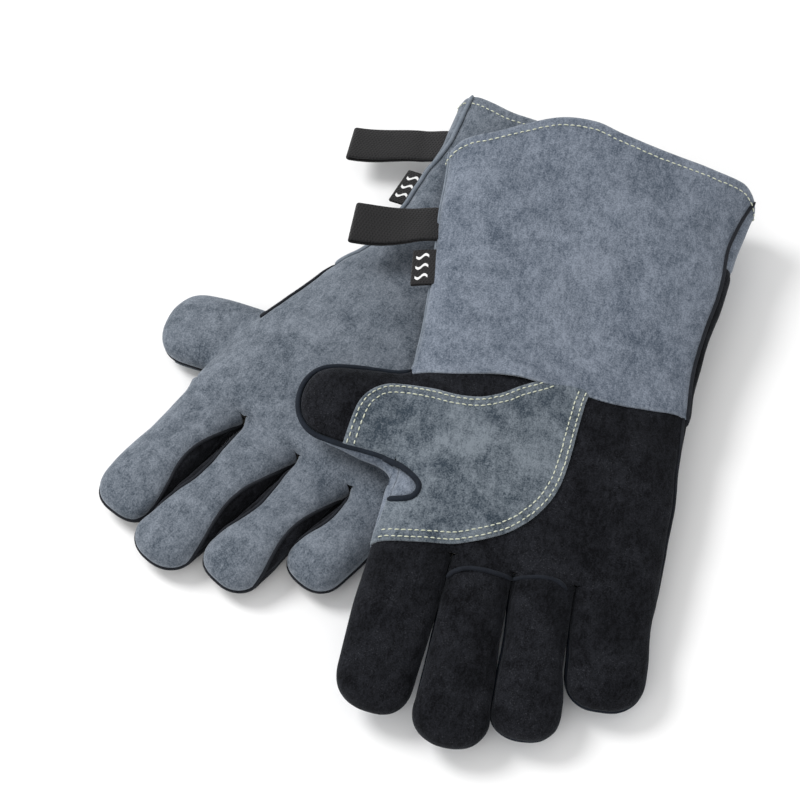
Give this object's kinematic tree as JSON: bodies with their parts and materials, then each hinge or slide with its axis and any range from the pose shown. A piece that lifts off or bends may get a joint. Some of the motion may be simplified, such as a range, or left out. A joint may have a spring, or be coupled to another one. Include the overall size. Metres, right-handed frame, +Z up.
{
  "type": "heat resistant glove",
  "caption": "Pair of long-cuffed suede heat resistant gloves, lined, with sewn finger stalls, reinforced palm, hanging loops and woven labels.",
  "frame": {"origin": "centre of the footprint of the pair, on the table", "axes": "+Z up; -Y towards the fingers of the right glove and the viewer; the gloves' cuffs point to +Y"},
  "size_m": [0.354, 0.3894, 0.0731],
  "materials": {
    "grey_suede": "napped suede, matte",
    "black_suede": "napped suede, matte",
    "cotton_lining": "brushed cotton",
    "black_webbing": "woven tape"
  },
  "bodies": {
    "left_glove": {"left_hand_back": "grey_suede", "left_hand_palm": "black_suede", "left_hand_sides": "black_suede", "left_palm_patch": "grey_suede", "left_cuff_back": "grey_suede", "left_cuff_front": "grey_suede", "left_cuff_gussets": "black_suede", "left_lining": "cotton_lining"},
    "left_index": {"left_index_back": "grey_suede", "left_index_front": "black_suede", "left_index_fourchettes": "black_suede", "left_index_lining": "cotton_lining"},
    "left_middle": {"left_middle_back": "grey_suede", "left_middle_front": "black_suede", "left_middle_fourchettes": "black_suede", "left_middle_lining": "cotton_lining"},
    "left_ring": {"left_ring_back": "grey_suede", "left_ring_front": "black_suede", "left_ring_fourchettes": "black_suede", "left_ring_lining": "cotton_lining"},
    "left_little": {"left_little_back": "grey_suede", "left_little_front": "black_suede", "left_little_fourchettes": "black_suede", "left_little_lining": "cotton_lining"},
    "left_thumb": {"left_thumb_back": "grey_suede", "left_thumb_front": "black_suede", "left_thumb_lining": "cotton_lining"},
    "left_loop": {"left_loop": "black_webbing"},
    "left_label": {"left_label": "black_webbing"},
    "right_glove": {"right_hand_back": "grey_suede", "right_hand_palm": "black_suede", "right_hand_sides": "black_suede", "right_palm_patch": "grey_suede", "right_hand_lining": "cotton_lining"},
    "right_index": {"right_index_back": "grey_suede", "right_index_front": "black_suede", "right_index_fourchettes": "black_suede", "right_index_lining": "cotton_lining"},
    "right_middle": {"right_middle_back": "grey_suede", "right_middle_front": "black_suede", "right_middle_fourchettes": "black_suede", "right_middle_lining": "cotton_lining"},
    "right_ring": {"right_ring_back": "grey_suede", "right_ring_front": "black_suede", "right_ring_fourchettes": "black_suede", "right_ring_lining": "cotton_lining"},
    "right_little": {"right_little_back": "grey_suede", "right_little_front": "black_suede", "right_little_fourchettes": "black_suede", "right_little_lining": "cotton_lining"},
    "right_thumb": {"right_thumb_back": "grey_suede", "right_thumb_front": "black_suede", "right_thumb_lining": "cotton_lining"},
    "right_cuff": {"right_cuff_back": "grey_suede", "right_cuff_front": "grey_suede", "right_cuff_gussets": "black_suede", "right_cuff_lining": "cotton_lining"},
    "right_loop": {"right_loop": "black_webbing"},
    "right_label": {"right_label": "black_webbing"}
  },
  "joints": [
    {"name": "right_glove_lift", "type": "slide", "parent": "left_glove", "child": "right_glove", "axis": [0, 0, 1], "range_m": [0, 0.15]},
    {"name": "left_index_lift", "type": "hinge", "parent": "left_glove", "child": "left_index", "pos_m": [-0.11638, -0.00239, 0.024], "axis": [-0.7314, 0.682, 0], "range_deg": [0, 25]},
    {"name": "left_middle_lift", "type": "hinge", "parent": "left_glove", "child": "left_middle", "pos_m": [-0.08849, -0.02355, 0.024], "axis": [-0.7771, 0.6293, 0], "range_deg": [0, 25]},
    {"name": "left_ring_lift", "type": "hinge", "parent": "left_glove", "child": "left_ring", "pos_m": [-0.06146, -0.04417, 0.024], "axis": [-0.809, 0.5878, 0], "range_deg": [0, 25]},
    {"name": "left_little_lift", "type": "hinge", "parent": "left_glove", "child": "left_little", "pos_m": [-0.03391, -0.06251, 0.024], "axis": [-0.7986, 0.6018, 0], "range_deg": [0, 12]},
    {"name": "left_thumb_lift", "type": "hinge", "parent": "left_glove", "child": "left_thumb", "pos_m": [-0.11126, 0.04233, 0.024], "axis": [0.342, 0.9397, 0], "range_deg": [0, 30]},
    {"name": "right_index_bend", "type": "hinge", "parent": "right_glove", "child": "right_index", "pos_m": [-0.01407, -0.09834, 0.04691], "axis": [-0.9603, 0.2219, 0.1691], "range_deg": [0, 60]},
    {"name": "right_middle_bend", "type": "hinge", "parent": "right_glove", "child": "right_middle", "pos_m": [0.01766, -0.10549, 0.04133], "axis": [-0.9741, 0.1536, 0.1662], "range_deg": [0, 60]},
    {"name": "right_ring_bend", "type": "hinge", "parent": "right_glove", "child": "right_ring", "pos_m": [0.05025, -0.11334, 0.03557], "axis": [-0.9822, 0.0931, 0.1629], "range_deg": [0, 60]},
    {"name": "right_little_bend", "type": "hinge", "parent": "right_glove", "child": "right_little", "pos_m": [0.0845, -0.11592, 0.02994], "axis": [-0.9858, 0.0497, 0.1602], "range_deg": [0, 60]},
    {"name": "right_thumb_bend", "type": "hinge", "parent": "right_glove", "child": "right_thumb", "pos_m": [-0.02097, -0.03098, 0.05308], "axis": [0.1806, 0.9825, 0.0454], "range_deg": [0, 45]},
    {"name": "right_cuff_fold", "type": "hinge", "parent": "right_glove", "child": "right_cuff", "pos_m": [0.05783, -0.01247, 0.05416], "axis": [0.9642, -0.2049, -0.1685], "range_deg": [0, 30]},
    {"name": "left_loop_swing", "type": "hinge", "parent": "left_glove", "child": "left_loop", "pos_m": [-0.00116, 0.15808, 0.0186], "axis": [0.4104, 0.9119, 0], "range_deg": [0, 80]},
    {"name": "right_loop_swing", "type": "hinge", "parent": "right_cuff", "child": "right_loop", "pos_m": [0.00267, 0.08646, 0.06093], "axis": [0.1287, 0.9902, 0.0542], "range_deg": [0, 80]},
    {"name": "left_label_flap", "type": "hinge", "parent": "left_glove", "child": "left_label", "pos_m": [-0.01796, 0.13251, 0.0175], "axis": [0.6157, 0.788, 0], "range_deg": [0, 80]},
    {"name": "right_label_flap", "type": "hinge", "parent": "right_cuff", "child": "right_label", "pos_m": [-0.00245, 0.06061, 0.05654], "axis": [0.2144, 0.976, 0.0396], "range_deg": [0, 80]}
  ]
}
